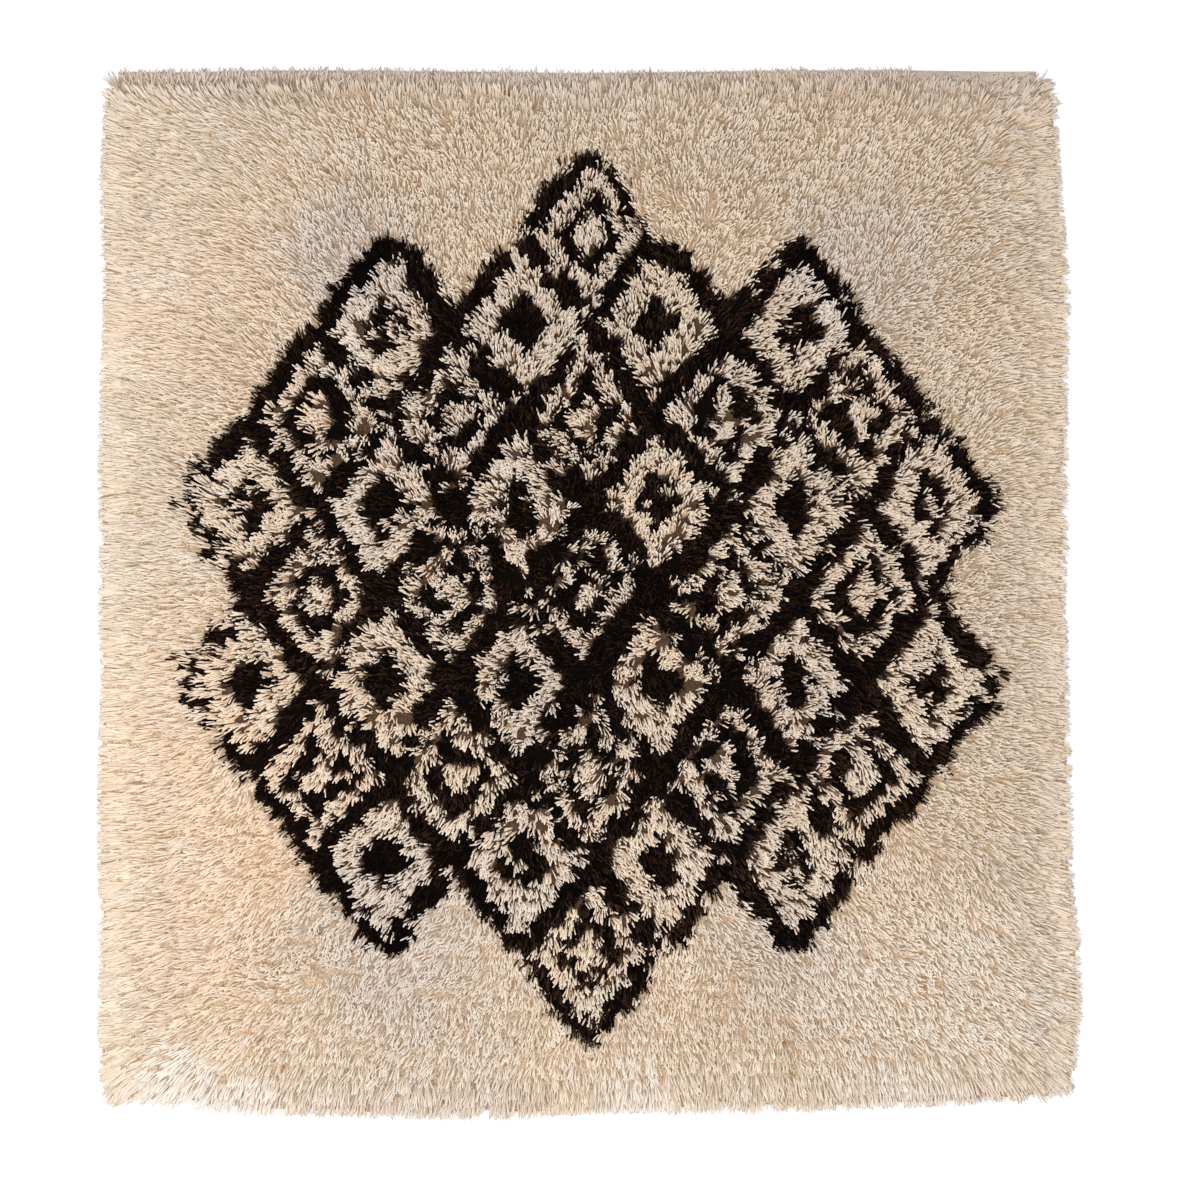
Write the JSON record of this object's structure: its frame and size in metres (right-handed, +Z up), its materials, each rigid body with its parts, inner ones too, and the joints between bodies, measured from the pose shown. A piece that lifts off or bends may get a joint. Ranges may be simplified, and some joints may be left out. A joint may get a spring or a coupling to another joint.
{
  "type": "rya rug",
  "caption": "Rectangular shag rug that lies flat: a woven ground cloth under a long knotted wool pile, which falls over its edges in uneven locks.",
  "frame": {"origin": "middle of the underside, where the rug lies on the floor", "axes": "+Z up from the floor, +Y towards the end where the hem shows, +X to the right as seen from above"},
  "size_m": [1.4376, 1.53, 0.043],
  "materials": {
    "ground_linen": "matte weave",
    "cream_wool": "matte long pile",
    "brown_wool": "matte long pile"
  },
  "bodies": {
    "root": {"ground_cloth": "ground_linen", "knotted_pile": "cream_wool"}
  },
  "joints": []
}
